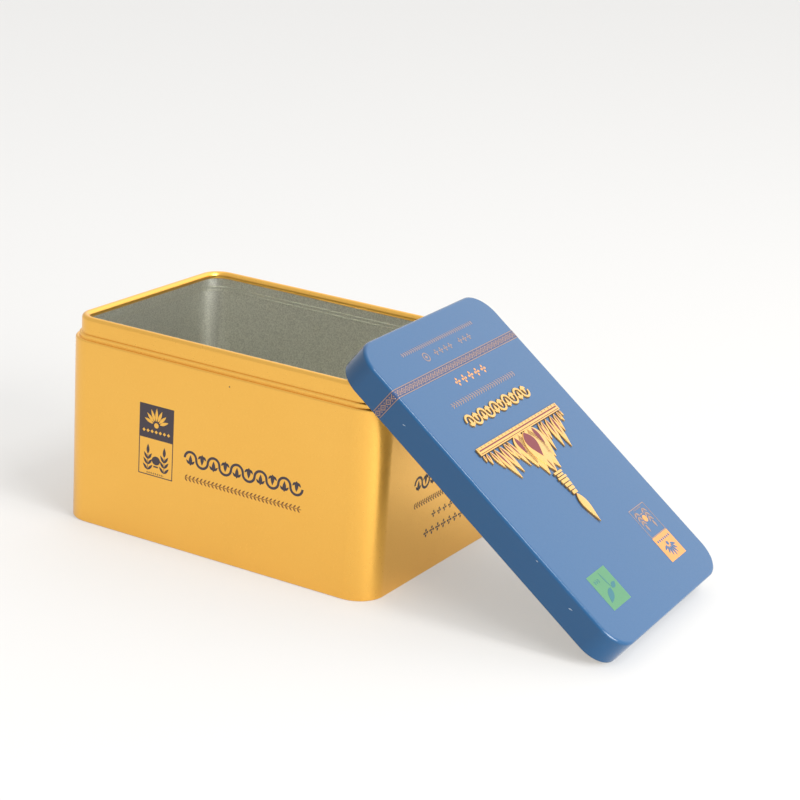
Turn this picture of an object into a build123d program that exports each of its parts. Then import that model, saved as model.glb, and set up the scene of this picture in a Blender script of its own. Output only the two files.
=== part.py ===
"""Rectangular slip-lid tin of printed tinplate, open, with its lid leaning on one end.

Three sheet-metal pieces, each bent from one thin sheet:
- body_wall: the wrapped wall, with its side seam, bottom hem, shoulder, neck and curled rim;
- base_panel: the pressed bottom, locked in the wall's hem;
- lid: the drawn lid, with its skirt and hemmed edge.

Origin: the centre of the base, on the surface that the tin stands on. +Z up, +X along the long side
towards the leaning lid, and -Y towards the printed front. All lengths are in millimetres.

A section point (inset, height) is measured inwards from the outer face and up from the base,
and lies on the middle of the sheet.
"""

import os
from math import cos, radians, sin

from build123d import *

os.makedirs("parts", exist_ok=True)

# Sheet and outline, shared by the tin and its lid
sheet = 0.28
length = 120.0
width = 83.0
corner_radius = 9.6

# Body wall, from the bottom up
hem_width = 2.5
hem_lip_height = 1.2
hem_bend = 0.35
bottom_bend = 0.45
shoulder_height = 62.8
bead_bend = 0.5
ledge_inset = 1.3
ledge_dip = 0.3
foot_height = 1.3
foot_bend = 0.35
neck_inset = 1.9
rim_height = 69.8
curl_radius = 1.28
curl_turn = 255.0

# Side seam, in the back wall beside the corner
seam_x = 43.5
seam_width = 3.2
seam_low = 3.2
seam_high = 61.6
seam_line_width = 0.36
seam_line_depth = 0.1

# Base panel
base_recess = 1.9
base_skirt_bend = 0.5
panel_border = 5.2
panel_slope = 1.0
panel_rise = 0.6
panel_bend = 0.8
panel_flat = 1.5

# Lid
lid_height = 10.15
lid_edge_bend = 0.91
lid_hem_width = 0.9
lid_hem_height = 1.5
lid_hem_bend = 0.3
lid_border = 4.0

# Where the lid leans: its free edge stands on the ground beyond the tin's +X end
lid_lean = 37.9
lid_turn = 2.5
lid_x = 95.4
lid_y = 1.9

half_sheet = sheet / 2
lid_hem_round = lid_hem_bend + half_sheet
lid_z = (
    (length / 2 - lid_hem_round) * sin(radians(lid_lean))
    + (lid_height - lid_hem_round) * cos(radians(lid_lean))
    + lid_hem_round
)
lid_plane = Plane(
    origin=(lid_x, lid_y, lid_z),
    x_dir=(
        cos(radians(lid_turn)) * cos(radians(lid_lean)),
        sin(radians(lid_turn)) * cos(radians(lid_lean)),
        -sin(radians(lid_lean)),
    ),
    z_dir=(
        cos(radians(lid_turn)) * sin(radians(lid_lean)),
        sin(radians(lid_turn)) * sin(radians(lid_lean)),
        cos(radians(lid_lean)),
    ),
)

corners = [
    (-length / 2, width / 2),
    (-length / 2, -width / 2),
    (length / 2, -width / 2),
    (length / 2, width / 2),
]


def section_plane(outline: Wire, up: Vector) -> Plane:
    """The plane square to the outline at its start, with x inwards and y up."""
    along = outline % 0
    return Plane(origin=outline @ 0, x_dir=up.cross(along), z_dir=along)


# The wall: one sheet, bent to this section all the way round the outline
with BuildPart() as body_wall:
    with BuildLine(Plane.XY) as body_outline:
        FilletPolyline(*corners, radius=corner_radius, close=True)
    with BuildSketch(section_plane(body_outline.wire(), Vector(0, 0, 1))):
        with BuildLine():
            FilletPolyline(
                (hem_width - half_sheet, hem_lip_height),
                (hem_width - half_sheet, half_sheet),
                (half_sheet, half_sheet),
                (half_sheet, shoulder_height - half_sheet),
                (ledge_inset, shoulder_height - half_sheet - ledge_dip),
                (ledge_inset, shoulder_height + foot_height - half_sheet),
                (neck_inset + half_sheet, shoulder_height + foot_height - half_sheet),
                (neck_inset + half_sheet, rim_height - curl_radius),
                radius=(hem_bend, bottom_bend, bead_bend, foot_bend, foot_bend, foot_bend),
            )
            CenterArc(
                (neck_inset + curl_radius, rim_height - curl_radius),
                curl_radius - half_sheet,
                start_angle=180,
                arc_size=-curl_turn,
            )
        trace(line_width=sheet)
    sweep(path=body_outline.wire())
    # The lock seam: a flat fold inside, and a fine line outside
    seam_middle = (seam_low + seam_high) / 2
    with Locations((seam_x, width / 2 - 1.25 * sheet, seam_middle)):
        Box(seam_width, 1.5 * sheet, seam_high - seam_low)
    with Locations((seam_x + seam_width / 2, width / 2, seam_middle)):
        Box(seam_line_width, 2 * seam_line_depth, seam_high - seam_low, mode=Mode.SUBTRACT)
body_wall.part.label = "body_wall"
export_step(body_wall.part, "parts/body_wall.step")

# The bottom: its skirt stands in the wall's hem, and its middle is raised a little to stiffen it
with BuildPart() as base_panel:
    skirt_inset = sheet + bottom_bend
    panel_height = base_recess + panel_rise
    flat_inset = panel_border + panel_slope + panel_flat
    with BuildLine(Plane.XY) as base_outline:
        FilletPolyline(*corners, radius=corner_radius, close=True)
    with BuildSketch(section_plane(base_outline.wire(), Vector(0, 0, 1))):
        with BuildLine():
            FilletPolyline(
                (skirt_inset, sheet),
                (skirt_inset, base_recess),
                (panel_border, base_recess),
                (panel_border + panel_slope, panel_height),
                (flat_inset, panel_height),
                radius=(base_skirt_bend, panel_bend, panel_bend),
            )
        trace(line_width=sheet)
    sweep(path=base_outline.wire())
    with BuildSketch(Plane.XY.offset(panel_height - half_sheet)):
        RectangleRounded(length - 2 * flat_inset, width - 2 * flat_inset, corner_radius - flat_inset)
    extrude(amount=sheet)
base_panel.part.label = "base_panel"
export_step(base_panel.part, "parts/base_panel.step")

# The lid: a flat top, a small rounded edge and a straight skirt, with its free edge folded in
with BuildPart() as lid:
    with BuildLine(lid_plane) as lid_outline:
        FilletPolyline(*corners, radius=corner_radius, close=True)
    with BuildSketch(section_plane(lid_outline.wire(), lid_plane.z_dir)):
        with BuildLine():
            FilletPolyline(
                (lid_hem_width - half_sheet, lid_hem_height - lid_height),
                (lid_hem_width - half_sheet, half_sheet - lid_height),
                (half_sheet, half_sheet - lid_height),
                (half_sheet, -half_sheet),
                (lid_border, -half_sheet),
                radius=(lid_hem_bend, lid_hem_bend, lid_edge_bend),
            )
        trace(line_width=sheet)
    sweep(path=lid_outline.wire())
    with BuildSketch(lid_plane.offset(-sheet)):
        RectangleRounded(length - 2 * lid_border, width - 2 * lid_border, corner_radius - lid_border)
    extrude(amount=sheet)
lid.part.label = "lid"
export_step(lid.part, "parts/lid.step")
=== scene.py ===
"""A rectangular slip-lid tin of printed tinplate, open, with its lid leaning on one end.

Laid out as an add-on and run as a script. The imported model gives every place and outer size:
the pieces here are the same bent sheets, with their print, and stand for the plain CAD nodes.
"""

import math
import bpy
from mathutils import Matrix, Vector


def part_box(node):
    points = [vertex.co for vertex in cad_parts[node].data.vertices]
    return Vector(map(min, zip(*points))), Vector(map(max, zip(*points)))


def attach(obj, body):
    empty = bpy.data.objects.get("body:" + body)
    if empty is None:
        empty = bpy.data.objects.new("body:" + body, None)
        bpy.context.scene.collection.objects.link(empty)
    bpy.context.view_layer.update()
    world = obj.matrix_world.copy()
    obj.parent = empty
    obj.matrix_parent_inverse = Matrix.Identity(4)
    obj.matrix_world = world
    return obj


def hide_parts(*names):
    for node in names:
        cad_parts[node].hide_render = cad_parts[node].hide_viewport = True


bl_info = {
    "name": "Lithographed Tin",
    "version": (1, 0, 0),
    "blender": (4, 5, 0),
    "location": "3D View > Sidebar > Tin",
    "description": "Models a printed slip-lid tin, its leaning lid and a plain studio around them",
    "category": "Add Mesh",
}

import bmesh
import bpy
from bpy.props import FloatProperty, FloatVectorProperty, IntProperty, PointerProperty
from mathutils import Matrix, Vector

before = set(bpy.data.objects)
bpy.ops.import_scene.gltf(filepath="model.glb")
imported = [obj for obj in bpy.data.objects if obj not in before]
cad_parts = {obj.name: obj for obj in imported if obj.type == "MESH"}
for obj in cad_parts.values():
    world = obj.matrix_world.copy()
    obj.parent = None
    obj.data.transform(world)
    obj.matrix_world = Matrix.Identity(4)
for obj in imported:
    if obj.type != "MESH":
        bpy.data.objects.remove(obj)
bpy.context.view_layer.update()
wall_low, wall_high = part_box("body_wall")

MM = 0.001
UP = Vector((0, 0, 1))
# points nearer than this are at the same place, and vertices nearer than this are merged
TOUCH, WELD = 0.01 * MM, 0.002 * MM
# a face whose normal has this much of an axis faces that way
STRAIGHT = 0.99
# edges that turn more than this stay sharp
SHARP = math.radians(50)


def linear(hex_colour):
    """An sRGB hex colour as linear red, green and blue."""
    channels = [int(hex_colour[i : i + 2], 16) / 255 for i in (1, 3, 5)]
    return tuple(c / 12.92 if c <= 0.04045 else ((c + 0.055) / 1.055) ** 2.4 for c in channels)


def length_of(name, description, value_mm):
    """A length property, given in millimetres."""
    return FloatProperty(name=name, description=description, default=value_mm * MM, unit="LENGTH")


def angle_of(name, description, degrees):
    """An angle property, given in degrees."""
    return FloatProperty(
        name=name, description=description, default=math.radians(degrees), subtype="ANGLE"
    )


def number_of(name, description, value):
    """A plain number property."""
    return FloatProperty(name=name, description=description, default=value)


def place_of(name, description, place):
    """A place in the object's frame, given in metres."""
    return FloatVectorProperty(name=name, description=description, default=place, unit="LENGTH")


def colour_of(name, description, hex_colour):
    """A colour property, given as sRGB hex."""
    return FloatVectorProperty(
        name=name, description=description, default=linear(hex_colour), subtype="COLOR", min=0, max=1
    )


class TinSizes(bpy.types.PropertyGroup):
    sheet: length_of("Sheet", "Thickness of the tinplate", 0.28)
    corner: length_of("Corner", "Radius of the upright corners", 9.6)
    hem_width: length_of("Hem width", "Width of the hem folded under the wall", 2.5)
    hem_lip: length_of("Hem lip", "Height of the hem's inner lip", 1.2)
    bottom_bend: length_of("Bottom bend", "Bend radius at the bottom edge", 0.45)
    shoulder: length_of("Shoulder", "Height of the shoulder's bead", 62.8)
    bead_bend: length_of("Bead bend", "Bend radius of the bead", 0.5)
    ledge_inset: length_of("Ledge inset", "How far in the ledge ends", 1.3)
    ledge_dip: length_of("Ledge dip", "How far the ledge dips below the bead", 0.3)
    foot: length_of("Neck foot", "Height of the step at the neck's foot", 1.3)
    fold_bend: length_of("Fold bend", "Bend radius of the small folds", 0.35)
    neck_inset: length_of("Neck inset", "How far the neck stands inside the wall", 1.9)
    curl: length_of("Curl", "Outer radius of the rolled rim", 1.28)
    curl_turn: angle_of("Curl turn", "How far the rim is rolled", 255)
    seam_x: length_of("Seam place", "Where the side seam is on the back", 43.5)
    seam_width: length_of("Seam width", "Width of the fold behind the seam", 3.2)
    seam_low: length_of("Seam foot", "Height where the seam's fold starts", 3.2)
    seam_high: length_of("Seam head", "Height where the seam's fold ends", 61.6)
    seam_line: length_of("Seam line", "Width of the seam's outer groove", 0.36)
    seam_depth: length_of("Seam depth", "Depth of the seam's outer groove", 0.1)
    corner_steps: IntProperty(name="Corner steps", description="Faces round each corner", default=24)
    bend_steps: IntProperty(name="Bend steps", description="Faces round each small bend", default=6)
    curl_steps: IntProperty(name="Curl steps", description="Faces round the rolled rim", default=20)


class BaseSizes(bpy.types.PropertyGroup):
    recess: length_of("Recess", "Height of the panel's border above the hem", 1.9)
    skirt_bend: length_of("Skirt bend", "Bend radius at the top of the skirt", 0.5)
    border: length_of("Border", "Width of the flat border", 5.2)
    slope: length_of("Slope", "Width of the step inside the border", 1.0)
    rise: length_of("Rise", "How far the middle is raised", 0.6)
    panel_bend: length_of("Panel bend", "Bend radius of the step", 0.8)
    flat: length_of("Flat", "Width of the flat strip above the step, before the middle", 1.5)


class LidSizes(bpy.types.PropertyGroup):
    lean: angle_of("Lean", "Tilt of the lid's top from level", 37.9)
    turn: angle_of("Turn", "Turn of the leaning lid about the upright", 2.5)
    height: length_of("Height", "Depth of the lid", 10.15)
    edge_bend: length_of("Edge bend", "Bend radius round the lid's top", 0.91)
    hem_width: length_of("Hem width", "Width of the folded free edge", 0.9)
    hem_height: length_of("Hem height", "Height of the folded free edge", 1.5)
    hem_bend: length_of("Hem bend", "Bend radius of the folded free edge", 0.3)
    border: length_of("Border", "Width of the flat strip round the middle of the top", 4.0)
    bend_steps: IntProperty(name="Bend steps", description="Faces round each bend", default=10)


class PrintSizes(bpy.types.PropertyGroup):
    ink: length_of("Ink", "How far flat ink stands on the sheet", 0.03)
    emboss: length_of("Emboss", "How far the embossed ornament stands up", 0.4)
    emboss_bevel: length_of("Emboss bevel", "Width of the embossed ornament's bevel", 0.14)
    sunk: length_of("Sunk", "How deep a print's plate reaches into what carries it", 0.05)
    line: length_of("Line", "Width of a ruled line", 0.3)
    band_middle: length_of("Band place", "Middle of the lid's border band, along the lid", -41.1)
    band_width: length_of("Band width", "Width of the lid's border band", 3.1)
    band_foot: length_of("Band foot", "How far the band runs down the lid's sides", 9.6)


class Finishes(bpy.types.PropertyGroup):
    gold: colour_of("Gold", "Gold lithograph lacquer", "#F5BD5A")
    blue: colour_of("Blue", "Blue lithograph ink", "#05456E")
    tinplate: colour_of("Tinplate", "Bare tinplate", "#E9E9DF")
    dark_ink: colour_of("Dark ink", "Dark overprint on the gold", "#3A3038")
    brown_ink: colour_of("Brown ink", "Brown overprint on the gold", "#75481F")
    gold_ink: colour_of("Gold ink", "Gold overprint on the blue", "#D79656")
    # painted shadow: a dark ink laid beside the embossed gold to stand in for the shade at the side of
    # its strokes
    shadow_ink: colour_of("Shadow ink", "Printed shadow beside the embossed gold", "#2A2A30")
    ground_ink: colour_of("Ground ink", "Ground of the lid's border band", "#1B3C66")
    foil: colour_of("Foil", "Embossed gold", "#DDB068")
    copper_ink: colour_of("Copper ink", "Fine copper overprint on the blue", "#94786A")
    red_ink: colour_of("Red ink", "Red accents of the emblem", "#6A2229")
    green_ink: colour_of("Green ink", "Green label", "#417651")
    leaf_ink: colour_of("Leaf ink", "Leaves on the green label", "#1A5C66")
    chip: colour_of("Chip", "Bright metal where the ink has chipped off", "#9FB0BE")
    floor: colour_of("Floor", "Studio sweep", "#F4F3F1")


class StudioSizes(bpy.types.PropertyGroup):
    lens: number_of("Lens", "Focal length in millimetres", 97.75)
    camera: place_of("Camera", "Where the camera stands", (0.3690, -0.5731, 0.2690))
    heading: angle_of("Heading", "Camera's turn to the left of straight ahead", 29.513)
    pitch: angle_of("Pitch", "Camera's tilt below level", 19.601)
    roll: angle_of("Roll", "Camera's roll", 3.923)
    rise: number_of("Rise", "Upward shift of the lens, as a part of the frame", 0.07)
    floor_radius: length_of("Floor radius", "Radius of the studio floor", 4000)
    window: place_of("Window", "Middle of the window, beside the tin", (1.41, -0.35, 0.52))
    window_size: length_of("Window size", "Side of the window", 900)
    window_power: number_of("Window power", "Power of the window in watts", 30)
    skylight: place_of("Skylight", "Middle of the skylight, over the lid", (0.8, -0.05, 1.28))
    skylight_size: length_of("Skylight size", "Side of the skylight", 400)
    skylight_power: number_of("Skylight power", "Power of the skylight in watts", 6)
    sky_towards: FloatVectorProperty(
        name="Sky towards", description="Where the surround is brightest", default=(0.35, 0.75, 0.56)
    )
    sky_low: number_of("Sky low", "Strength of the surround on the camera's side", 0.78)
    sky_high: number_of("Sky high", "Strength of the surround where it is brightest", 1.65)


# Sheet metal: a wire bent to the section, carried round the outline


def round_off(bm, geom, width, steps, affect="EDGES", clamp=False):
    """Rounds the given edges or corners."""
    bmesh.ops.bevel(
        bm,
        geom=geom,
        affect=affect,
        offset_type="OFFSET",
        offset=width,
        segments=steps,
        profile=0.5,
        clamp_overlap=clamp,
        material=-1,
    )


def bent_wire(bm, points, bends, steps):
    """A wire through the points, with a bend of its own radius at each point between the ends."""
    verts = [bm.verts.new(p) for p in points]
    for pair in zip(verts, verts[1:]):
        bm.edges.new(pair)
    turns = [(b - a).angle(c - b) for a, b, c in zip(points, points[1:], points[2:])]
    for vert, turn, bend in zip(verts[1:], turns, bends):
        round_off(bm, [vert], bend * math.tan(turn / 2), steps, affect="VERTICES")
    return verts[0], verts[-1]


def wrap_round(bm, length, width, corner, corner_steps, straight_step=12 * MM):
    """Carries the wire, which stands at +X, round the rounded rectangle and back to itself."""
    run_x, run_y = length / 2 - corner, width / 2 - corner
    legs = [
        (Vector((0, run_y, 0)), Vector((run_x, run_y, 0))),
        (Vector((-2 * run_x, 0, 0)), Vector((-run_x, run_y, 0))),
        (Vector((0, -2 * run_y, 0)), Vector((-run_x, -run_y, 0))),
        (Vector((2 * run_x, 0, 0)), Vector((run_x, -run_y, 0))),
        (Vector((0, run_y, 0)), None),
    ]
    ring = list(bm.verts) + list(bm.edges)
    for travel, centre in legs:
        steps = max(2, round(travel.length / straight_step))
        ring = bmesh.ops.spin(
            bm, geom=ring, angle=0, steps=steps, dvec=travel / steps, axis=UP
        )["geom_last"]
        if centre is not None:
            ring = bmesh.ops.spin(
                bm, geom=ring, cent=centre, axis=UP, angle=math.pi / 2, steps=corner_steps
            )["geom_last"]
    bmesh.ops.remove_doubles(bm, verts=bm.verts, dist=WELD)


def close_panel(bm, height):
    """Fills the opening whose edge stands at this height."""
    rim = [
        e for e in bm.edges if e.is_boundary and all(abs(v.co.z - height) < TOUCH for v in e.verts)
    ]
    bmesh.ops.edgeloop_fill(bm, edges=rim)


def face_outwards(bm, low, high):
    """Turns the sheet so that its wall, between these heights, faces away from the middle."""
    bmesh.ops.recalc_face_normals(bm, faces=bm.faces)
    wall = next(
        f for f in bm.faces if f.normal.x > STRAIGHT and low < f.calc_center_median().z < high
    )
    if wall.calc_center_median().x < 0:
        bmesh.ops.reverse_faces(bm, faces=bm.faces)


def press_groove(bm, x, width, depth):
    """Presses the upright groove of the side seam into the back of the wall."""
    back = [f for f in bm.faces if f.normal.y > STRAIGHT and f.calc_center_median().y > 0]
    tall = max(back, key=lambda f: f.calc_area())
    wall_y = tall.calc_center_median().y
    for cut in (x - width / 2, x, x + width / 2):
        facing_back = (f for f in bm.faces if f.normal.y > STRAIGHT)
        wall = [f for f in facing_back if abs(f.calc_center_median().y - wall_y) < TOUCH]
        geom = set(wall) | {e for f in wall for e in f.edges} | {v for f in wall for v in f.verts}
        bmesh.ops.bisect_plane(
            bm, geom=list(geom), plane_co=(cut, 0, 0), plane_no=(1, 0, 0), dist=WELD / 2
        )
    middle = [v for v in bm.verts if max(abs(v.co.x - x), abs(v.co.y - wall_y)) < TOUCH]
    bmesh.ops.translate(bm, verts=middle, vec=(0, -depth, 0))


def finished_piece(name, bm, body, materials, stands_for=None, sheet=None):
    """Makes the piece from its bmesh, gives it its thickness and its place in the frame."""
    mesh = bpy.data.meshes.new(name)
    for face in bm.faces:
        face.smooth = True
    bm.to_mesh(mesh)
    bm.free()
    mesh.set_sharp_from_angle(angle=SHARP)
    for material in materials:
        mesh.materials.append(material)
    piece = bpy.data.objects.new(name, mesh)
    bpy.context.scene.collection.objects.link(piece)
    if sheet:
        shell = piece.modifiers.new("Sheet", "SOLIDIFY")
        shell.thickness = sheet
        shell.offset = 0
        shell.use_even_offset = True
        shell.material_offset = 1
        flats = piece.modifiers.new("Flat faces", "WEIGHTED_NORMAL")
        flats.keep_sharp = True
    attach(piece, body)
    if stands_for:
        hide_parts(stands_for)
    return piece


# Print: flat shapes drawn in millimetres, then raised by the thickness of the ink or the embossing


def bar(bm, left, low, right, high, cuts=1):
    """A flat bar, cut across into short lengths where it has to bend."""
    middle = Matrix.Translation(((left + right) / 2, (low + high) / 2, 0))
    size = Matrix.Diagonal((right - left, high - low, 1, 1))
    bmesh.ops.create_grid(bm, x_segments=cuts, y_segments=1, size=0.5, matrix=middle @ size)


def disc(bm, x, y, radius, sides=20, height=1.0):
    """A dot, or with four sides a lozenge."""
    place = Matrix.Translation((x, y, 0)) @ Matrix.Diagonal((radius, radius * height, 1, 1))
    bmesh.ops.create_circle(bm, cap_ends=True, segments=sides, radius=1, matrix=place)


def leaf(bm, stalk, tip, width, belly=0.3, sides=20):
    """A pointed leaf from its stalk to its tip. A positive belly makes it fuller near the stalk."""
    made = bmesh.ops.create_circle(bm, cap_ends=True, segments=sides, radius=1)["verts"]
    reach = Vector(tip) - Vector(stalk)
    for vert in made:
        along, across = vert.co.x, vert.co.y
        vert.co.x = (along + 1) / 2 * reach.length
        vert.co.y = across * abs(across) * (1 - belly * along) * width / 2
    turn = Matrix.Rotation(math.atan2(reach.y, reach.x), 4, "Z")
    bmesh.ops.transform(bm, matrix=Matrix.Translation((*stalk, 0)) @ turn, verts=made)


def spray(bm, x, y, angle, length, width, belly=0.3, gap=0.0):
    """A leaf given by its angle and length, starting a gap away from its stalk."""
    heading = Vector((math.cos(math.radians(angle)), math.sin(math.radians(angle))))
    foot = Vector((x, y)) + heading * gap
    leaf(bm, foot, foot + heading * length, width, belly)


def arc_stroke(bm, x, y, radius, start, sweep, thick, steps=12):
    """A curved stroke about x, y, from the start angle through the sweep."""
    heading = Vector((math.cos(math.radians(start)), math.sin(math.radians(start)), 0))
    centre = Vector((x, y, 0))
    ends = [bm.verts.new(centre + heading * r) for r in (radius - thick / 2, radius + thick / 2)]
    edge = bm.edges.new(ends)
    bmesh.ops.spin(
        bm, geom=[*ends, edge], cent=centre, axis=UP, angle=math.radians(sweep), steps=steps
    )


def outlined(bm, line, draw, *where):
    """Draws a shape and keeps only a ruled line along its edge."""
    before = set(bm.faces)
    draw(bm, *where)
    field = [f for f in bm.faces if f not in before]
    bmesh.ops.inset_region(bm, faces=field, thickness=line, use_boundary=True, use_even_offset=True)
    bmesh.ops.delete(bm, geom=field, context="FACES")


def palmette(bm, x, y, height, leaves=7, spread=136):
    """A fan of leaves round one foot."""
    for i in range(leaves):
        part = i / (leaves - 1) * 2 - 1
        length = height * (0.76 - 0.14 * abs(part))
        spray(bm, x, y, 90 + part * spread / 2, length, height * 0.18, gap=height * 0.24)
    disc(bm, x, y, height * 0.15, 20)


def sprig(bm, x, y, height, pairs=3):
    """An upright sprig with pairs of leaves and a bud."""
    step = height * 0.62 / pairs
    for i in range(pairs):
        for side in (-1, 1):
            angle = 90 - side * (42 - 5 * i)
            spray(bm, x + side * 0.14, y + step * i, angle, height * 0.3, height * 0.1)
        bar(bm, x - 0.09, y + step * i - 0.1, x + 0.09, y + step * (i + 1) - 0.16)
    leaf(bm, (x, y + step * pairs), (x, y + height), height * 0.13)


def running_vine(bm, left, right, middle, thick, waves):
    """A wavy stem with a bud of three leaves in each hollow."""
    pitch = (right - left) / waves
    for i in range(waves):
        x = left + pitch * (i + 0.5)
        side = 1 if i % 2 == 0 else -1
        arc_stroke(bm, x, middle, pitch / 2, 0, 180 * side, thick)
        foot = middle - side * pitch * 0.52
        spray(bm, x, foot, 90 * side, pitch * 0.8, pitch * 0.3)
        for lean in (-42, 42):
            spray(bm, x, foot, 90 * side + lean, pitch * 0.4, pitch * 0.17, gap=pitch * 0.14)


def garland(bm, left, right, middle, height, pitch, width):
    """A fine stem with leaves in pairs that all lean the same way."""
    count = round((right - left) / pitch)
    bar(bm, left, middle - width * 0.18, right, middle + width * 0.18)
    for i in range(count):
        x = left + (right - left) * i / count
        for side in (-1, 1):
            spray(bm, x, middle + side * width * 0.25, 46 * side, height * 0.62, width)


def rosette(bm, x, y, size):
    """Four petals round a middle dot."""
    for i in range(4):
        spray(bm, x, y, 90 * i, size * 0.38, size * 0.3, gap=size * 0.15)
    disc(bm, x, y, size * 0.1, 10)


def rosette_row(bm, left, right, middle, size, count):
    """Rosettes spaced evenly between two ends."""
    for i in range(count):
        rosette(bm, left + size / 2 + (right - left - size) * i / (count - 1), middle, size)


def raised(bm, height, bevel, lift, sunk):
    """Makes closed plates of the flat shapes, with a rounded upper edge where a bevel is given."""
    bm.normal_update()
    bmesh.ops.reverse_faces(bm, faces=[f for f in bm.faces if f.normal.z < 0])
    bmesh.ops.remove_doubles(bm, verts=bm.verts, dist=WELD / 2 / MM)
    made = bmesh.ops.extrude_face_region(bm, geom=list(bm.faces), use_keep_orig=True)["geom"]
    tops = {g for g in made if isinstance(g, bmesh.types.BMFace)}
    bmesh.ops.translate(
        bm, verts=[g for g in made if isinstance(g, bmesh.types.BMVert)], vec=(0, 0, height + sunk)
    )
    bmesh.ops.recalc_face_normals(bm, faces=bm.faces)
    if bevel:
        rims = [e for e in bm.edges if sum(f in tops for f in e.link_faces) == 1]
        round_off(bm, rims, bevel, 3, clamp=True)
    bmesh.ops.translate(bm, verts=bm.verts, vec=(0, 0, lift - sunk))


def lay_print(name, draw, face, material, embossed=False, lift=0.0, shape=None):
    """Draws a print in millimetres, raises it and lays it on its face: a place, a body and a slot; the
    slot is not used.
    """
    place, body, slot = face
    sizes = bpy.context.scene.tin_print
    bm = bmesh.new()
    draw(bm)
    height = sizes.emboss if embossed else sizes.ink
    bevel = sizes.emboss_bevel if embossed else 0
    raised(bm, height / MM, bevel / MM, lift / MM, sizes.sunk / MM)
    if shape:
        shape(bm)
    bmesh.ops.transform(bm, matrix=place @ Matrix.Scale(MM, 4), verts=bm.verts)
    return finished_piece(name, bm, body, [material])


def facing(right, up, origin):
    """The matrix that lays artwork on a face: its x goes right, its y goes up."""
    right, up = Vector(right), Vector(up)
    turn = Matrix((right, up, right.cross(up))).transposed().to_4x4()
    return Matrix.Translation(origin) @ turn


def lid_place():
    """Where the lid's own frame stands: its origin is the middle of its top, its Z the top's normal."""
    sizes = bpy.context.scene.tin_lid
    turn = Matrix.Rotation(sizes.turn, 4, "Z") @ Matrix.Rotation(sizes.lean, 4, "Y")
    corners = [turn.inverted() @ v.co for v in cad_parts["lid"].data.vertices]
    low, high = (Vector(pick(axis) for axis in zip(*corners)) for pick in (min, max))
    return turn @ Matrix.Translation(((low.x + high.x) / 2, (low.y + high.y) / 2, high.z))


def lid_top():
    """The face that the lid's artwork is laid on: it reads from the lid's lower end."""
    return lid_place() @ facing((0, -1, 0), (1, 0, 0), (0, 0, 0)), "lid", "blue_litho"


def wall_face(right, origin):
    """An upright face of the tin's wall, given its direction to the right and a point on it."""
    return facing(right, UP, origin), "tin", "gold_litho"


# Materials

NOISE, RANGE, MIX, BUMP = "ShaderNodeTexNoise", "ShaderNodeMapRange", "ShaderNodeMix", "ShaderNodeBump"
# where nearly all of a noise texture's values lie
USUAL = {"From Min": 0.3, "From Max": 0.7}


def add_node(tree, kind, settings=(), values=(), links=()):
    """Adds a node with its own settings, its inputs' values and the links into it."""
    node = tree.nodes.new(kind)
    for name, value in dict(settings).items():
        setattr(node, name, value)
    for socket, value in dict(values).items():
        node.inputs[socket].default_value = value
    for socket, source in dict(links).items():
        tree.links.new(source, node.inputs[socket])
    return node


def stocked(name, make, *settings):
    """The material of that name, made the first time it is asked for."""
    return bpy.data.materials.get(name) or make(name, *settings)


def new_skin(name, **values):
    """A new material: its node tree, its Principled shader and its object coordinates."""
    material = bpy.data.materials.new(name)
    material.use_nodes = True
    tree = material.node_tree
    skin = tree.nodes["Principled BSDF"]
    for socket, value in values.items():
        skin.inputs[socket.replace("_", " ")].default_value = value
    place = tree.nodes.new("ShaderNodeTexCoord").outputs["Object"]
    return material, tree, skin, place


def shade(colour, factor):
    """The same colour, lighter or darker."""
    return tuple(min(1.0, c * factor) for c in colour)


def surface(tree, skin, tone, gloss, bump):
    """Wires a surface's colour, roughness and bump to its shader."""
    tree.links.new(tone.outputs[2], skin.inputs["Base Color"])
    tree.links.new(gloss.outputs["Result"], skin.inputs["Roughness"])
    tree.links.new(bump.outputs["Normal"], skin.inputs["Normal"])


def gold_litho(name, colour):
    """Clear yellow lacquer over bright tinplate: shines like satin brass, with a fine orange peel."""
    material, tree, skin, place = new_skin(
        name, Metallic=1.0, Coat_Weight=0.15, Coat_Roughness=0.3, Coat_IOR=1.5
    )
    deep = (colour[0] * 0.93, colour[1] * 0.86, colour[2] * 0.7)
    cloud = add_node(tree, NOISE, values={"Scale": 1 / (40 * MM), "Detail": 5}, links={"Vector": place})
    peel = add_node(tree, NOISE, values={"Scale": 1 / (0.5 * MM), "Detail": 4}, links={"Vector": place})
    broad = {**USUAL, "To Min": 0, "To Max": 0.25}
    drift = add_node(tree, RANGE, values=broad, links={"Value": cloud.outputs["Fac"]})
    fine = {**USUAL, "To Min": -0.12, "To Max": 0.12}
    grain = add_node(tree, RANGE, values=fine, links={"Value": peel.outputs["Fac"]})
    amount = add_node(
        tree,
        "ShaderNodeMath",
        {"operation": "ADD", "use_clamp": True},
        links={0: drift.outputs["Result"], 1: grain.outputs["Result"]},
    )
    tone = add_node(
        tree, MIX, {"data_type": "RGBA"}, {6: (*colour, 1), 7: (*deep, 1)}, {0: amount.outputs["Value"]}
    )
    satin = {**USUAL, "To Min": 0.27, "To Max": 0.35}
    gloss = add_node(tree, RANGE, values=satin, links={"Value": peel.outputs["Fac"]})
    bump = add_node(tree, BUMP, values={"Distance": 0.018 * MM}, links={"Height": peel.outputs["Fac"]})
    surface(tree, skin, tone, gloss, bump)
    return material


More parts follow.
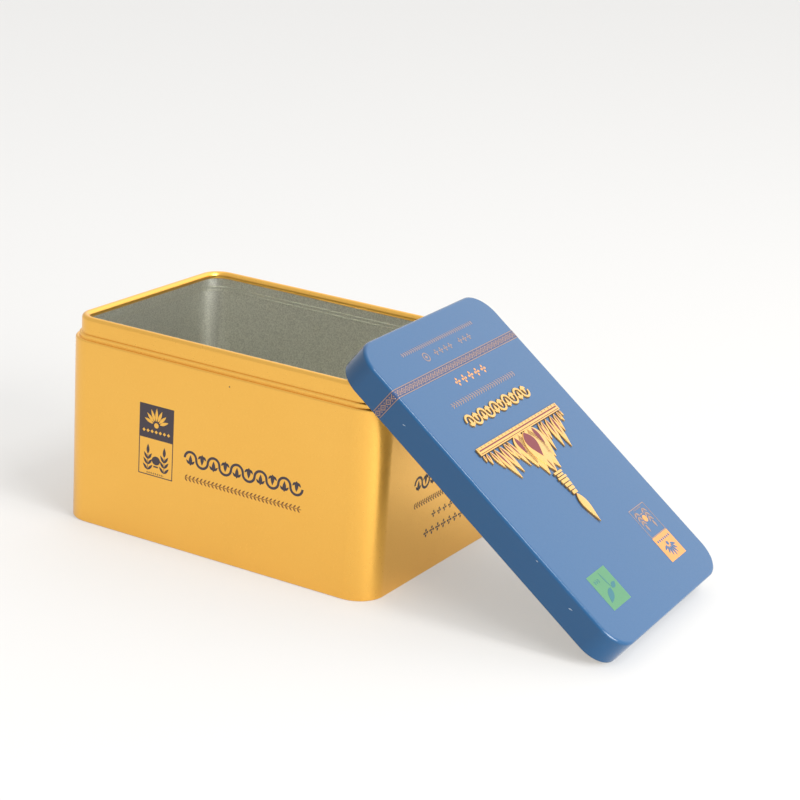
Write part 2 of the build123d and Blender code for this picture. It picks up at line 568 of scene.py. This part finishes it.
def blue_litho(name, colour):
    """Opaque blue ink under clear varnish on tinplate: a deep body colour with a pale sheen on top."""
    material, tree, skin, place = new_skin(
        name, Specular_IOR_Level=0.1, IOR=1.45, Coat_Weight=1.0, Coat_Roughness=0.16, Coat_IOR=1.5
    )
    warm = (colour[0] * 1.18, colour[1] * 0.98, colour[2] * 1.02)
    cloud = add_node(tree, NOISE, values={"Scale": 1 / (16 * MM), "Detail": 3}, links={"Vector": place})
    peel = add_node(tree, NOISE, values={"Scale": 1 / (0.6 * MM), "Detail": 4}, links={"Vector": place})
    tone = add_node(
        tree, MIX, {"data_type": "RGBA"}, {6: (*colour, 1), 7: (*warm, 1)}, {0: cloud.outputs["Fac"]}
    )
    satin = {**USUAL, "To Min": 0.38, "To Max": 0.5}
    gloss = add_node(tree, RANGE, values=satin, links={"Value": peel.outputs["Fac"]})
    bump = add_node(tree, BUMP, values={"Distance": 0.012 * MM}, links={"Height": peel.outputs["Fac"]})
    surface(tree, skin, tone, gloss, bump)
    return material


def bare_tinplate(name, colour):
    """Cold-rolled steel with a matte coat of tin: grey, grainy, with soft upright glints in the bends.

    The real grain is about 0.1 mm. It is drawn at 0.45 mm, or it wouldn't show at all.
    """
    material, tree, skin, place = new_skin(name, Metallic=1.0)
    grain = add_node(
        tree,
        NOISE,
        values={"Scale": 1 / (0.45 * MM), "Detail": 5, "Roughness": 0.75},
        links={"Vector": place},
    ).outputs["Fac"]
    amount = add_node(tree, RANGE, values={"From Min": 0.38, "From Max": 0.62}, links={"Value": grain})
    tone = add_node(
        tree,
        MIX,
        {"data_type": "RGBA"},
        {6: (*shade(colour, 0.74), 1), 7: (*shade(colour, 1.1), 1)},
        {0: amount.outputs["Result"]},
    )
    matte = {**USUAL, "To Min": 0.34, "To Max": 0.42}
    gloss = add_node(tree, RANGE, values=matte, links={"Value": grain})
    bump = add_node(tree, BUMP, values={"Distance": 0.03 * MM}, links={"Height": grain})
    surface(tree, skin, tone, gloss, bump)
    return material


def litho_ink(name, colour, metallic, roughness):
    """Printing ink laid on by offset: even, slightly mottled where the coat is thin."""
    material, tree, skin, place = new_skin(
        name, Metallic=metallic, IOR=1.5, Coat_Weight=0.15, Coat_Roughness=0.3
    )
    mottle = add_node(
        tree, NOISE, values={"Scale": 1 / (0.35 * MM), "Detail": 3}, links={"Vector": place}
    ).outputs["Fac"]
    amount = add_node(tree, RANGE, values=USUAL, links={"Value": mottle})
    tone = add_node(
        tree,
        MIX,
        {"data_type": "RGBA"},
        {6: (*shade(colour, 0.86), 1), 7: (*shade(colour, 1.08), 1)},
        {0: amount.outputs["Result"]},
    )
    satin = {**USUAL, "To Min": roughness, "To Max": roughness + 0.1}
    gloss = add_node(tree, RANGE, values=satin, links={"Value": mottle})
    bump = add_node(tree, BUMP, values={"Distance": 0.006 * MM}, links={"Height": mottle})
    surface(tree, skin, tone, gloss, bump)
    return material


def light_table(name, colour):
    """Opal acrylic lit from below: plain, matte and nearly without shadows."""
    return new_skin(
        name,
        Roughness=0.8,
        IOR=1.49,
        Specular_IOR_Level=0.2,
        Base_Color=(*shade(colour, 0.43), 1),
        Emission_Color=(*colour, 1),
        Emission_Strength=0.4,
    )[0]


def gold_skin(context):
    return stocked("gold lithographed tinplate", gold_litho, context.scene.tin_looks.gold)


def blue_skin(context):
    return stocked("blue lithographed tinplate", blue_litho, context.scene.tin_looks.blue)


def tin_skin(context):
    return stocked("bare tinplate", bare_tinplate, context.scene.tin_looks.tinplate)


def ink(context, colour, metallic=0.0, roughness=0.45):
    """The printing ink of one of the finishes."""
    tone = getattr(context.scene.tin_looks, colour)
    return stocked(f"litho ink {colour}", litho_ink, tone, metallic, roughness)


# Pieces


class TIN_OT_wall(bpy.types.Operator):
    """Make the tin's wall, with its hem, bead, neck and rolled rim, and its side seam"""

    bl_idname = "tin.wall"
    bl_label = "Wall"

    def execute(self, context):
        sizes = context.scene.tin_sizes
        half = sizes.sheet / 2
        length, width = wall_high.x - wall_low.x, wall_high.y - wall_low.y
        rim = wall_high.z - wall_low.z
        section = [
            (sizes.hem_width - half, sizes.hem_lip),
            (sizes.hem_width - half, half),
            (half, half),
            (half, sizes.shoulder - half),
            (sizes.ledge_inset, sizes.shoulder - half - sizes.ledge_dip),
            (sizes.ledge_inset, sizes.shoulder + sizes.foot - half),
            (sizes.neck_inset + half, sizes.shoulder + sizes.foot - half),
            (sizes.neck_inset + half, rim - sizes.curl),
        ]
        bends = [sizes.fold_bend, sizes.bottom_bend, sizes.bead_bend] + [sizes.fold_bend] * 3
        bm = bmesh.new()
        points = [Vector((length / 2 - inset, 0, height)) for inset, height in section]
        neck_top = bent_wire(bm, points, bends, sizes.bend_steps)[1]
        curl_centre = (length / 2 - sizes.neck_inset - sizes.curl, 0, rim - sizes.curl)
        bmesh.ops.spin(
            bm,
            geom=[neck_top],
            cent=curl_centre,
            axis=(0, -1, 0),
            angle=sizes.curl_turn,
            steps=sizes.curl_steps,
        )
        wrap_round(bm, length, width, sizes.corner, sizes.corner_steps)
        face_outwards(bm, 0.2 * rim, 0.8 * rim)
        press_groove(bm, sizes.seam_x + sizes.seam_width / 2, sizes.seam_line, sizes.seam_depth)
        skins = [gold_skin(context), tin_skin(context)]
        finished_piece("tin_wall", bm, "tin", skins, "body_wall", sizes.sheet)
        self.make_fold(context, sizes, width)
        return {"FINISHED"}

    def make_fold(self, context, sizes, width):
        """The locked fold of the side seam, pressed flat against the inside of the back wall."""
        depth = 1.5 * sizes.sheet
        bm = bmesh.new()
        size = Matrix.Diagonal((sizes.seam_width, depth, sizes.seam_high - sizes.seam_low, 1))
        middle_y = width / 2 - sizes.sheet / 2 - depth / 2
        middle = (sizes.seam_x, middle_y, (sizes.seam_low + sizes.seam_high) / 2)
        bmesh.ops.create_cube(bm, size=1, matrix=Matrix.Translation(middle) @ size)
        round_off(bm, list(bm.edges), depth / 3, 3)
        finished_piece("side_seam_fold", bm, "tin", [tin_skin(context)])


class TIN_OT_base(bpy.types.Operator):
    """Make the base panel, seamed inside the wall's hem"""

    bl_idname = "tin.base"
    bl_label = "Base panel"

    def execute(self, context):
        tin, sizes = context.scene.tin_sizes, context.scene.tin_base
        length, width = wall_high.x - wall_low.x, wall_high.y - wall_low.y
        skirt = tin.sheet + tin.bottom_bend
        flat = sizes.border + sizes.slope + sizes.flat
        raised_height = sizes.recess + sizes.rise
        section = [
            (skirt, tin.sheet),
            (skirt, sizes.recess),
            (sizes.border, sizes.recess),
            (sizes.border + sizes.slope, raised_height),
            (flat, raised_height),
        ]
        bm = bmesh.new()
        points = [Vector((length / 2 - inset, 0, height)) for inset, height in section]
        bends = [sizes.skirt_bend, sizes.panel_bend, sizes.panel_bend]
        bent_wire(bm, points, bends, tin.bend_steps)
        wrap_round(bm, length, width, tin.corner, tin.corner_steps)
        close_panel(bm, raised_height)
        bmesh.ops.recalc_face_normals(bm, faces=bm.faces)
        if max(bm.faces, key=lambda f: f.calc_area()).normal.z > 0:
            bmesh.ops.reverse_faces(bm, faces=bm.faces)
        skins = [tin_skin(context)] * 2
        finished_piece("tin_base", bm, "tin", skins, "base_panel", tin.sheet)
        return {"FINISHED"}


class TIN_OT_lid(bpy.types.Operator):
    """Make the slip lid, with its rounded top edge and folded free edge"""

    bl_idname = "tin.lid"
    bl_label = "Lid"

    def execute(self, context):
        tin, sizes = context.scene.tin_sizes, context.scene.tin_lid
        half = tin.sheet / 2
        length, width = wall_high.x - wall_low.x, wall_high.y - wall_low.y
        section = [
            (sizes.hem_width - half, sizes.hem_height - sizes.height),
            (sizes.hem_width - half, half - sizes.height),
            (half, half - sizes.height),
            (half, -half),
            (sizes.border, -half),
        ]
        bm = bmesh.new()
        points = [Vector((length / 2 - inset, 0, height)) for inset, height in section]
        bent_wire(bm, points, [sizes.hem_bend, sizes.hem_bend, sizes.edge_bend], sizes.bend_steps)
        wrap_round(bm, length, width, tin.corner, tin.corner_steps)
        close_panel(bm, -half)
        face_outwards(bm, -0.8 * sizes.height, -0.2 * sizes.height)
        bmesh.ops.transform(bm, matrix=lid_place(), verts=bm.verts)
        skins = [blue_skin(context), tin_skin(context)]
        finished_piece("tin_lid", bm, "lid", skins, "lid", tin.sheet)
        return {"FINISHED"}


def badge_frame(bm, left, top, width, block, panel, line):
    """The badge's solid head and the ruled panel under it."""
    bar(bm, left, top - block, left + width, top)
    outlined(bm, line, bar, left, top - block - panel, left + width, top - block - 0.02)


def badge_head(bm, left, top, width, block):
    """A palmette over a row of lozenges, on the badge's head."""
    palmette(bm, left + width / 2, top - block * 0.6, block * 0.53)
    for i in range(7):
        disc(bm, left + width * (0.14 + 0.12 * i), top - block * 0.8, block * 0.055, 4)


def badge_scene(bm, left, top, width, block, panel):
    """Two sprigs beside a round bowl, in the badge's ruled panel."""
    foot = top - block - panel * 0.86
    for part in (0.27, 0.75):
        sprig(bm, left + width * part, foot, panel * 0.68)
    middle = left + width * 0.51
    disc(bm, middle, foot + panel * 0.28, panel * 0.125, 24, 0.92)
    bar(bm, middle - panel * 0.07, foot + panel * 0.1, middle + panel * 0.07, foot + panel * 0.14)
    garland(bm, left + width * 0.25, left + width * 0.75, top - block - panel * 0.93, 0.6, 0.8, 0.2)


class TIN_OT_side_prints(bpy.types.Operator):
    """Print the badge and the vine border on the front and the back of the wall"""

    bl_idname = "tin.side_prints"
    bl_label = "Front and back prints"

    def execute(self, context):
        line = context.scene.tin_print.line / MM
        badge, panel = {"left": -28.6, "top": 46.9, "width": 13.5, "block": 11.1}, 12.9
        faces = {
            "front": wall_face((1, 0, 0), (0, wall_low.y, 0)),
            "back": wall_face((-1, 0, 0), (0, wall_high.y, 0)),
        }

        def dark(bm):
            badge_frame(bm, **badge, panel=panel, line=line)
            badge_scene(bm, **badge, panel=panel)
            running_vine(bm, -10.4, 34.4, 32.3, 0.85, 10)

        def brown(bm):
            garland(bm, -10.1, 34.3, 25.6, 2.3, 1.5, 0.5)

        def ornament(bm):
            badge_head(bm, **badge)

        lift = context.scene.tin_print.ink
        for side, face in faces.items():
            lay_print(f"{side}_dark_print", dark, face, ink(context, "dark_ink", 0.1))
            lay_print(f"{side}_brown_print", brown, face, ink(context, "brown_ink", 0.2))
            lay_print(f"{side}_badge_ornament", ornament, face, gold_skin(context), lift=lift)
        return {"FINISHED"}


class TIN_OT_end_prints(bpy.types.Operator):
    """Print the vine border and the rows of rosettes on both ends of the wall"""

    bl_idname = "tin.end_prints"
    bl_label = "End prints"

    def execute(self, context):
        faces = {
            "right": wall_face((0, 1, 0), (wall_high.x, 0, 0)),
            "left": wall_face((0, -1, 0), (wall_low.x, 0, 0)),
        }

        def dark(bm):
            running_vine(bm, -16.4, 28.4, 32.6, 0.85, 10)
            rosette_row(bm, -4.2, 16.2, 19.5, 2.4, 6)
            rosette_row(bm, -8.6, 20.6, 14.0, 2.9, 8)

        def brown(bm):
            garland(bm, -16.1, 28.2, 25.5, 2.3, 1.5, 0.5)

        for side, face in faces.items():
            lay_print(f"{side}_end_dark_print", dark, face, ink(context, "dark_ink", 0.1))
            lay_print(f"{side}_end_brown_print", brown, face, ink(context, "brown_ink", 0.2))
        return {"FINISHED"}


class TIN_OT_lid_rows(bpy.types.Operator):
    """Print the copper rows, the gold rosettes and the embossed vine on the lid"""

    bl_idname = "tin.lid_rows"
    bl_label = "Lid rows"

    def execute(self, context):
        face = lid_top()

        def copper(bm):
            garland(bm, -23.6, 24.3, -51.1, 1.5, 1.3, 0.36)
            outlined(bm, 0.35, disc, 13, -47.3, 1.7, 24)
            disc(bm, 13, -47.3, 0.7, 4)
            rosette_row(bm, -4.1, 7.6, -47.3, 2.3, 4)
            rosette_row(bm, -17.2, -8.8, -47.3, 2.3, 3)
            garland(bm, -22.2, 21.8, -29.5, 2.1, 1.6, 0.42)

        def gold_row(bm):
            rosette_row(bm, -10.6, 10.0, -35.6, 3.1, 5)

        def vine(bm):
            running_vine(bm, -21.1, 21.3, -22.6, 0.8, 10)

        # painted shadow: the vine again, shifted, in dark ink under the embossed vine, for the shade
        # beside its strokes
        def vine_shadow(bm):
            vine(bm)
            bmesh.ops.translate(bm, verts=bm.verts, vec=(0.45, 0.3, 0))

        lay_print("lid_copper_rows", copper, face, ink(context, "copper_ink", 0.5))
        lay_print("lid_rosettes", gold_row, face, ink(context, "gold_ink", 0.6))
        lay_print("lid_vine_shadow", vine_shadow, face, ink(context, "shadow_ink", 0.1))
        lay_print("lid_embossed_vine", vine, face, ink(context, "foil", 0.8, 0.28), embossed=True)
        return {"FINISHED"}


class TIN_OT_lid_band(bpy.types.Operator):
    """Print the lattice band across the lid's top and down both of its sides"""

    bl_idname = "tin.lid_band"
    bl_label = "Lid band"

    def execute(self, context):
        sizes = context.scene.tin_print
        middle, half = sizes.band_middle / MM, sizes.band_width / MM / 2
        bend = (context.scene.tin_lid.edge_bend + context.scene.tin_sizes.sheet / 2) / MM
        flat = (wall_high.y - wall_low.y) / MM / 2 - bend
        arc = bend * math.pi / 2
        end = flat + arc + sizes.band_foot / MM - bend
        face = lid_top()

        def over_the_edges(bm):
            for vert in bm.verts:
                run, side, out = abs(vert.co.x), math.copysign(1, vert.co.x), vert.co.z
                angle = min(max(run - flat, 0) / bend, math.pi / 2)
                down = max(run - flat - arc, 0)
                vert.co.x = side * (min(run, flat) + (bend + out) * math.sin(angle))
                vert.co.z = (bend + out) * math.cos(angle) - bend - down

        def ribbon(bm, low, high):
            for side in (-1, 1):
                bar(bm, min(0, side * flat), low, max(0, side * flat), high)
                for near, far, cuts in ((flat, flat + arc, 10), (flat + arc, end, 1)):
                    left, right = sorted((side * near, side * far))
                    bar(bm, left, low, right, high, cuts)

        def ground(bm):
            ribbon(bm, middle - half, middle + half)

        def lattice(bm):
            rule, line, dot, spacing = 0.26, 0.34, 0.3, 1.35
            for low in (middle - half, middle + half - rule):
                ribbon(bm, low, low + rule)
            tall = half - 0.45
            count = round(end / spacing)
            pitch = end / count
            for i in range(-count, count):
                x = (i + 0.5) * pitch
                if i % 2:
                    outlined(bm, line, disc, x, middle, pitch, 4, tall / pitch)
                    disc(bm, x, middle, dot, 4)
                else:
                    for side in (-1, 1):
                        disc(bm, x, middle + side * tall * 0.62, dot, 4)

        bent = {"shape": over_the_edges}
        lay_print("lid_band_ground", ground, face, ink(context, "ground_ink", 0.1), **bent)
        lattice_ink = ink(context, "copper_ink", 0.5)
        lay_print("lid_band_lattice", lattice, face, lattice_ink, lift=sizes.ink, **bent)
        return {"FINISHED"}


class TIN_OT_emblem(bpy.types.Operator):
    """Emboss the lotus emblem on the lid"""

    bl_idname = "tin.emblem"
    bl_label = "Lid emblem"

    def execute(self, context):
        sizes = context.scene.tin_print
        face = lid_top()
        base, foot = -14.2, -11.5
        # how far the heart stands in front of the outer leaves
        step = 0.35 * sizes.emboss
        top = sizes.emboss + step
        # stalk and tip of each leaf on the right of the emblem, and its width
        leaves = [
            ((27.3, foot), (27.9, -9.0), 1.0),
            ((25.4, foot), (26.0, -7.4), 1.6),
            ((23.0, foot), (21.8, -4.4), 2.0),
            ((20.2, foot), (18.2, 0.9), 3.2),
            ((16.7, foot), (14.8, -0.4), 3.0),
            ((13.6, foot), (11.9, -4.4), 2.2),
            ((11.3, foot), (9.2, -0.8), 2.3),
        ]

        def both_sides(bm, reach, width_part, drop=0.15):
            for stalk, tip, width in leaves:
                for side in (-1, 1):
                    foot_point = Vector((side * stalk[0], stalk[1] + drop))
                    way = Vector((side * tip[0], tip[1])) - foot_point
                    leaf(bm, foot_point, foot_point + way * reach, width * width_part, 0.55)

        def outer_leaves(bm):
            both_sides(bm, 1, 1)
            for side in (-1, 1):
                leaf(bm, (side * 4.6, foot - 1.0), (side * 6.3, 0.8), 7.4, 0.5, 28)
                leaf(bm, (side * 2.2, foot - 1.0), (side * 3.9, 4.6), 6.6, 0.4, 28)

        def heart(bm):
            bar(bm, -28.4, base, 28.4, foot)
            leaf(bm, (0, foot + 0.1), (0, 5.2), 8.6, 0.5, 32)
            for low, high, wide in ((4.9, 5.7, 2.6), (6.0, 6.7, 2.0), (7.0, 7.8, 2.7)):
                bar(bm, -wide, low, wide, high)
            for i in range(4):
                wide = 2.3 - 0.3 * i
                bar(bm, -wide, 8.1 + 1.5 * i, wide, 9.3 + 1.5 * i)
            leaf(bm, (0, 13.9), (0, 25.4), 3.4, 0.75, 32)

        def red(bm):
            bar(bm, -27.6, base + 0.95, 27.6, base + 1.4)
            leaf(bm, (0, foot + 0.4), (0, -1.4), 5.6, 0.5, 28)

        def outer_red(bm):
            both_sides(bm, 0.6, 0.3, 0.5)
            for side in (-1, 1):
                leaf(bm, (side * 6.2, foot + 0.3), (side * 6.4, -4.6), 2.2, 0.4)

        def lines(bm):
            bar(bm, -27.8, foot - 0.6, 27.8, foot - 0.35)
            for i in range(24):
                x = -27.6 + 2.4 * i
                bar(bm, x - 0.12, base + 0.1, x + 0.12, base + 0.7)
            leaf(bm, (0, 0.0), (0, 4.2), 0.6)

        # painted shadow: the outer leaves and the heart again, shifted, in dark ink, for the shade
        # beside the embossed emblem
        def shadow(bm):
            outer_leaves(bm)
            heart(bm)
            bmesh.ops.translate(bm, verts=bm.verts, vec=(0.5, 0.35, 0))

        foil, red_ink = ink(context, "foil", 0.8, 0.28), ink(context, "red_ink", 0.2)
        lay_print("emblem_shadow", shadow, face, ink(context, "shadow_ink", 0.1))
        lay_print("emblem_outer_leaves", outer_leaves, face, foil, embossed=True)
        lay_print("emblem_heart", heart, face, foil, embossed=True, lift=step)
        lay_print("emblem_outer_red", outer_red, face, red_ink, lift=sizes.emboss)
        lay_print("emblem_red", red, face, red_ink, lift=top)
        lay_print("emblem_lines", lines, face, ink(context, "brown_ink", 0.2), lift=top)
        return {"FINISHED"}


class TIN_OT_labels(bpy.types.Operator):
    """Print the gold badge and the green leaf label near the lid's lower end"""

    bl_idname = "tin.labels"
    bl_label = "Lid labels"

    def execute(self, context):
        ink_height = context.scene.tin_print.ink
        face = lid_top()
        badge = {"left": -29.0, "top": 49.2, "width": 11.6, "block": 9.6}

        def gold(bm):
            left, top = badge["left"], badge["top"]
            bar(bm, left, top - badge["block"], left + badge["width"], top)
            disc(bm, left + badge["width"] * 0.51, 33.0, 1.25, 24)

        def copper(bm):
            outlined(bm, 0.26, bar, -29.0, 28.2, -17.6, 39.5)
            badge_scene(bm, **badge, panel=11.4)

        def green(bm):
            bar(bm, 16.5, 36.5, 29.3, 49.2)

        def growth(bm):
            leaf(bm, (22.0, 37.3), (21.3, 43.2), 0.5)
            leaf(bm, (21.2, 43.4), (17.7, 42.2), 1.8)
            leaf(bm, (22.0, 43.0), (27.2, 47.0), 2.6)
            garland(bm, 24.4, 28.0, 39.3, 1.4, 1.1, 0.36)

        def ornament(bm):
            badge_head(bm, **badge)

        lay_print("lid_badge_gold", gold, face, ink(context, "gold_ink", 0.4), lift=ink_height)
        lay_print("lid_badge_outline", copper, face, ink(context, "copper_ink", 0.5))
        lay_print("green_label", green, face, ink(context, "green_ink"))
        lay_print("lid_badge_ornament", ornament, face, blue_skin(context), lift=2 * ink_height)
        lay_print("green_label_leaves", growth, face, ink(context, "leaf_ink"), lift=ink_height)
        return {"FINISHED"}


class TIN_OT_wear(bpy.types.Operator):
    """Chip the ink where the lid has been knocked, and add a dark speck to the front"""

    bl_idname = "tin.wear"
    bl_label = "Wear marks"

    def execute(self, context):
        front = wall_face((1, 0, 0), (0, wall_low.y, 0))
        near_side = (lid_place() @ front[0], "lid", "blue_litho")

        def chips(bm):
            leaf(bm, (-33.4, -5.0), (-32.3, -4.6), 0.26)
            leaf(bm, (23.2, -1.45), (24.1, -1.25), 0.26)
            leaf(bm, (39.9, -3.9), (41.2, -3.4), 0.34)

        def speck(bm):
            disc(bm, 5.7, 59.4, 0.22, 9)

        lay_print("lid_chips", chips, near_side, ink(context, "chip", 0.7))
        lay_print("front_speck", speck, front, ink(context, "dark_ink", 0.1))
        return {"FINISHED"}


class TIN_OT_stage(bpy.types.Operator):
    """Make the white floor, the soft lights and the camera"""

    bl_idname = "tin.stage"
    bl_label = "Studio"

    def execute(self, context):
        scene = context.scene
        studio = scene.tin_studio
        scene.view_settings.view_transform = "Standard"
        self.lay_floor(context, studio)
        self.light_sky(scene, studio)
        for name in ("window", "skylight"):
            sides, power = getattr(studio, f"{name}_size"), getattr(studio, f"{name}_power")
            self.hang_light(scene, name, getattr(studio, name), sides, power)
        data = bpy.data.cameras.new("camera")
        data.lens = studio.lens
        data.shift_y = studio.rise
        data.clip_start, data.clip_end = 0.01, 20
        camera = bpy.data.objects.new("camera", data)
        scene.collection.objects.link(camera)
        camera.matrix_world = (
            Matrix.Translation(studio.camera)
            @ Matrix.Rotation(studio.heading, 4, "Z")
            @ Matrix.Rotation(math.pi / 2 - studio.pitch, 4, "X")
            @ Matrix.Rotation(studio.roll, 4, "Z")
        )
        scene.camera = camera
        return {"FINISHED"}

    def lay_floor(self, context, studio):
        bm = bmesh.new()
        place = Matrix.Translation((0, 0, wall_low.z))
        bmesh.ops.create_circle(
            bm, cap_ends=True, segments=64, radius=studio.floor_radius, matrix=place
        )
        mesh = bpy.data.meshes.new("studio_floor")
        bm.to_mesh(mesh)
        bm.free()
        mesh.materials.append(stocked("opal acrylic", light_table, context.scene.tin_looks.floor))
        floor = bpy.data.objects.new("studio_floor", mesh)
        context.scene.collection.objects.link(floor)

    def light_sky(self, scene, studio):
        """A white surround, brightest above and behind, a little to the right."""
        world = bpy.data.worlds.new("studio")
        world.use_nodes = True
        scene.world = world
        tree = world.node_tree
        towards = add_node(tree, "ShaderNodeTexCoord").outputs["Generated"]
        rise = add_node(
            tree,
            "ShaderNodeVectorMath",
            {"operation": "DOT_PRODUCT"},
            {1: studio.sky_towards},
            {0: towards},
        ).outputs["Value"]
        glow = {"From Min": 0.3, "From Max": 1.0, "To Min": studio.sky_low, "To Max": studio.sky_high}
        strength = add_node(tree, RANGE, values=glow, links={"Value": rise})
        sky = tree.nodes["Background"]
        sky.inputs["Color"].default_value = (1, 1, 1, 1)
        tree.links.new(strength.outputs["Result"], sky.inputs["Strength"])

    def hang_light(self, scene, name, place, size, power):
        """A square softbox that looks at the object."""
        data = bpy.data.lights.new(name, "AREA")
        data.shape = "SQUARE"
        data.size = size
        data.energy = power
        light = bpy.data.objects.new(name, data)
        scene.collection.objects.link(light)
        aim = (-Vector(place)).to_track_quat("-Z", "Y").to_matrix().to_4x4()
        light.matrix_world = Matrix.Translation(place) @ aim


MAKERS = (
    TIN_OT_wall,
    TIN_OT_base,
    TIN_OT_lid,
    TIN_OT_side_prints,
    TIN_OT_end_prints,
    TIN_OT_lid_rows,
    TIN_OT_lid_band,
    TIN_OT_emblem,
    TIN_OT_labels,
    TIN_OT_wear,
    TIN_OT_stage,
)


class TIN_PT_panel(bpy.types.Panel):
    bl_label = "Lithographed Tin"
    bl_space_type = "VIEW_3D"
    bl_region_type = "UI"
    bl_category = "Tin"

    def draw(self, context):
        for maker in MAKERS:
            self.layout.operator(maker.bl_idname)


GROUPS = {
    "tin_sizes": TinSizes,
    "tin_base": BaseSizes,
    "tin_lid": LidSizes,
    "tin_print": PrintSizes,
    "tin_looks": Finishes,
    "tin_studio": StudioSizes,
}


def register():
    for cls in (*GROUPS.values(), *MAKERS, TIN_PT_panel):
        bpy.utils.register_class(cls)
    for name, group in GROUPS.items():
        setattr(bpy.types.Scene, name, PointerProperty(type=group))


def unregister():
    for name in GROUPS:
        delattr(bpy.types.Scene, name)
    for cls in reversed((*GROUPS.values(), *MAKERS, TIN_PT_panel)):
        bpy.utils.unregister_class(cls)


def main():
    register()
    for maker in MAKERS:
        getattr(bpy.ops.tin, maker.bl_idname.split(".")[1])()


if __name__ == "__main__":
    main()
